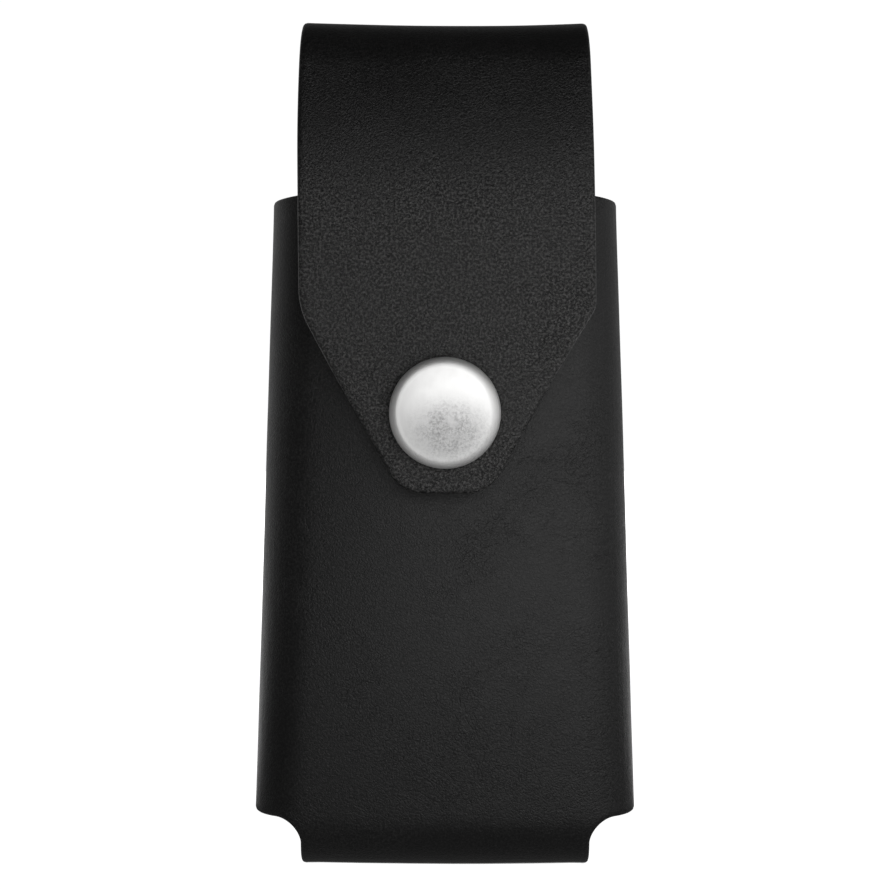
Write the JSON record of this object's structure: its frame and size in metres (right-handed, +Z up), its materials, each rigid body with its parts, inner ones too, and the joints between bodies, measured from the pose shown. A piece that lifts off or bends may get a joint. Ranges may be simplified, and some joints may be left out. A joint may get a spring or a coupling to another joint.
{
  "type": "multi tool belt sheath",
  "caption": "Leather belt sheath for a folding multi tool: a pocket with riveted wings, a belt loop and a strap flap that closes with a snap.",
  "frame": {"origin": "middle of the sheath's footprint, at the height of its flat bottom", "axes": "+Z up towards the crown, -Y out of the front where the snap is, +Y to the belt, +X to the right seen from the front"},
  "size_m": [0.0536, 0.0464, 0.118],
  "materials": {
    "hide": "smooth black, light grain",
    "strap_hide": "smooth black, light grain",
    "cap_nickel": "satin nickel plate",
    "snap_nickel": "nickel plated brass",
    "spring_wire": "spring wire",
    "rivet_nickel": "nickel plate"
  },
  "bodies": {
    "sheath": {"body_hide": "hide", "belt_loop": "strap_hide", "rivet_cap_left_loop_lower": "rivet_nickel", "rivet_cap_left_loop_upper": "rivet_nickel", "rivet_cap_left_wing": "rivet_nickel", "rivet_cap_right_loop_lower": "rivet_nickel", "rivet_cap_right_loop_upper": "rivet_nickel", "rivet_cap_right_wing": "rivet_nickel", "rivet_post_left_loop_lower": "rivet_nickel", "rivet_post_left_loop_upper": "rivet_nickel", "rivet_post_left_wing": "rivet_nickel", "rivet_post_right_loop_lower": "rivet_nickel", "rivet_post_right_loop_upper": "rivet_nickel", "rivet_post_right_wing": "rivet_nickel", "snap_stud": "snap_nickel", "snap_eyelet": "snap_nickel"},
    "flap_crown": {"flap_crown": "hide"},
    "flap_front": {"flap_front": "hide", "snap_cap": "cap_nickel", "snap_socket": "snap_nickel", "snap_ring_spring": "spring_wire"}
  },
  "joints": [
    {"name": "flap_bend", "type": "hinge", "parent": "flap_crown", "child": "flap_front", "pos_m": [0, -0.01365, 0.1158], "axis": [-1, 0, 0], "range_deg": [0, 115], "deforming": ["snap_ring_spring"]},
    {"name": "crown_bend", "type": "hinge", "parent": "sheath", "child": "flap_crown", "pos_m": [0, 0.00936, 0.11536], "axis": [-1, 0, 0], "range_deg": [0, 95]}
  ],
  "couplings": [
    {"joint": "crown_bend", "follows": "flap_bend", "ratio": 0.826}
  ]
}
